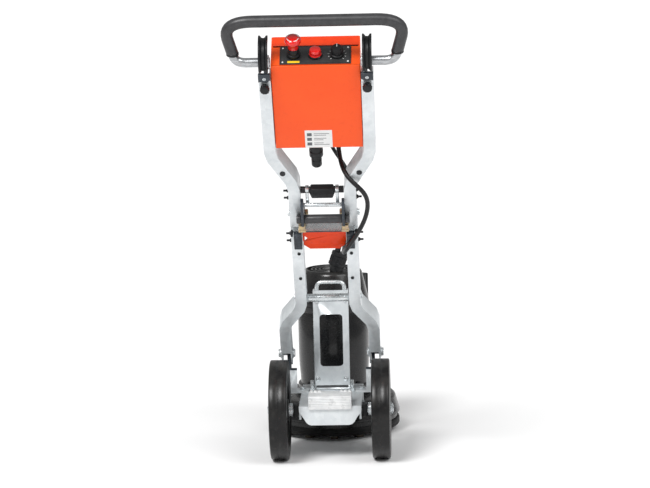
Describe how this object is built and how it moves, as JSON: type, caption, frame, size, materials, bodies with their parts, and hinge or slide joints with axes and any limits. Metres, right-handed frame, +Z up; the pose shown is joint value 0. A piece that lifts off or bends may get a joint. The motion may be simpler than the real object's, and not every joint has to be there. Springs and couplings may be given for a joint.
{
  "type": "concrete floor grinder",
  "caption": "Walk-behind single-disc concrete floor grinder: round hood and upright motor in front of two wheels, folding galvanised handle with an orange control console.",
  "frame": {"origin": "middle of the footprint, on the floor", "axes": "+X to the right as seen by the operator, +Y forward from the handle to the grinding head, +Z up"},
  "size_m": [0.428, 1.0508, 1.15],
  "materials": {
    "galvanised": "hot-dip galvanised sheet with a fine spangle",
    "bright_zinc": "bright zinc plate",
    "cast_alloy": "cast aluminium, matt",
    "dark_steel": "dark grey coat",
    "black_paint": "black semi-gloss coat",
    "black_plastic": "black moulded plastic",
    "tyre": "solid black rubber",
    "skirt_rubber": "black rubber",
    "lead_rubber": "black rubber sheath",
    "foam": "dark grey foam",
    "orange": "orange powder coat",
    "panel_grey": "dark grey panel",
    "red": "red plastic",
    "chrome": "chrome plate",
    "copper": "iron laminations with copper windings",
    "machined_steel": "machined steel",
    "segment": "sintered bronze and diamond segments"
  },
  "bodies": {
    "chassis": {"base_plate": "galvanised", "side_bracket_left": "galvanised", "side_bracket_right": "galvanised", "pivot_bolt_left": "machined_steel", "pivot_bolt_right": "machined_steel", "axle": "bright_zinc", "foot_step": "cast_alloy", "centre_plate": "galvanised", "carry_loop": "bright_zinc", "grinding_hood": "black_paint", "motor_flange": "black_paint", "motor_housing": "black_paint", "stator": "copper", "lower_bearing": "machined_steel", "upper_bearing": "machined_steel", "fan_cover": "black_paint", "terminal_box": "black_plastic", "motor_connector": "black_plastic", "motor_lead_lower": "lead_rubber", "signal_lead_lower": "lead_rubber"},
    "wheel_left": {"tyre_left": "tyre", "rim_left": "black_plastic"},
    "wheel_right": {"tyre_right": "tyre", "rim_right": "black_plastic"},
    "spindle": {"rotor_shaft": "machined_steel", "rotor": "machined_steel", "cooling_fan": "black_plastic", "grinding_disc": "machined_steel", "segment_ring": "segment"},
    "skirt": {"hood_skirt": "skirt_rubber"},
    "lower_handle": {"lower_frame_left": "galvanised", "lower_frame_right": "galvanised", "cross_tube": "bright_zinc", "guard_plate": "orange", "fold_bracket": "dark_steel", "catch_bar": "bright_zinc", "bumper_bar": "foam", "fold_pin_left": "bright_zinc", "fold_pin_right": "bright_zinc"},
    "upper_handle": {"upper_frame_left": "galvanised", "upper_frame_right": "galvanised", "bar_bracket_left": "bright_zinc", "bar_bracket_right": "bright_zinc", "cable_hook_left": "black_plastic", "cable_hook_right": "black_plastic", "console_box": "orange", "console_cover": "orange", "inverter": "dark_steel", "control_panel": "panel_grey", "power_inlet": "black_plastic", "motor_lead_upper": "lead_rubber", "signal_lead_upper": "lead_rubber"},
    "latch": {"fold_latch": "black_plastic"},
    "handlebar": {"handlebar_tube": "chrome", "handlebar_grip": "foam"},
    "stop_button": {"emergency_stop": "red"},
    "start_key": {"start_button": "red"},
    "speed_dial": {"speed_knob": "black_plastic"},
    "clamp_left": {"clamp_knob_left": "black_plastic"},
    "clamp_right": {"clamp_knob_right": "black_plastic"}
  },
  "joints": [
    {"name": "wheel_left_spin", "type": "hinge", "parent": "chassis", "child": "wheel_left", "pos_m": [-0.127, 0.00637, 0.125], "axis": [1, 0, 0], "continuous": true},
    {"name": "wheel_right_spin", "type": "hinge", "parent": "chassis", "child": "wheel_right", "pos_m": [0.127, 0.00637, 0.125], "axis": [1, 0, 0], "continuous": true},
    {"name": "spindle_spin", "type": "hinge", "parent": "chassis", "child": "spindle", "pos_m": [0, 0.35637, 0.06], "axis": [0, 0, 1], "continuous": true},
    {"name": "skirt_float", "type": "slide", "parent": "chassis", "child": "skirt", "axis": [0, 0, 1], "range_m": [0, 0.012]},
    {"name": "handle_tilt", "type": "hinge", "parent": "chassis", "child": "lower_handle", "pos_m": [0, 0.13637, 0.245], "axis": [1, 0, 0], "range_deg": [-35, 25], "deforming": ["motor_lead_lower", "signal_lead_lower"]},
    {"name": "handle_fold", "type": "hinge", "parent": "lower_handle", "child": "upper_handle", "pos_m": [0, -0.14764, 0.6447], "axis": [-1, 0, 0], "range_deg": [0, 120], "deforming": ["motor_lead_upper", "signal_lead_upper"]},
    {"name": "latch_release", "type": "hinge", "parent": "upper_handle", "child": "latch", "pos_m": [0, -0.2364, 0.71273], "axis": [1, 0, 0], "range_deg": [0, 35], "stiffness_Nm_per_rad": 1.5, "springref_deg": -17.19},
    {"name": "handlebar_swivel", "type": "hinge", "parent": "upper_handle", "child": "handlebar", "pos_m": [0, -0.47391, 1.04034], "axis": [1, 0, 0], "range_deg": [-40, 50]},
    {"name": "emergency_stop_press", "type": "slide", "parent": "upper_handle", "child": "stop_button", "axis": [0, 0.6088, -0.7934], "range_m": [0, 0.004]},
    {"name": "start_press", "type": "slide", "parent": "upper_handle", "child": "start_key", "axis": [0, 0.6088, -0.7934], "range_m": [0, 0.003], "stiffness_N_per_m": 600, "springref_m": -0.001},
    {"name": "speed_turn", "type": "hinge", "parent": "upper_handle", "child": "speed_dial", "pos_m": [0.05, -0.46176, 1.05407], "axis": [0, -0.6088, 0.7934], "range_deg": [-135, 135]},
    {"name": "clamp_left_turn", "type": "hinge", "parent": "upper_handle", "child": "clamp_left", "pos_m": [-0.118, -0.46454, 0.97884], "axis": [0, 0.7934, 0.6088], "continuous": true},
    {"name": "clamp_right_turn", "type": "hinge", "parent": "upper_handle", "child": "clamp_right", "pos_m": [0.118, -0.46454, 0.97884], "axis": [0, 0.7934, 0.6088], "continuous": true}
  ]
}
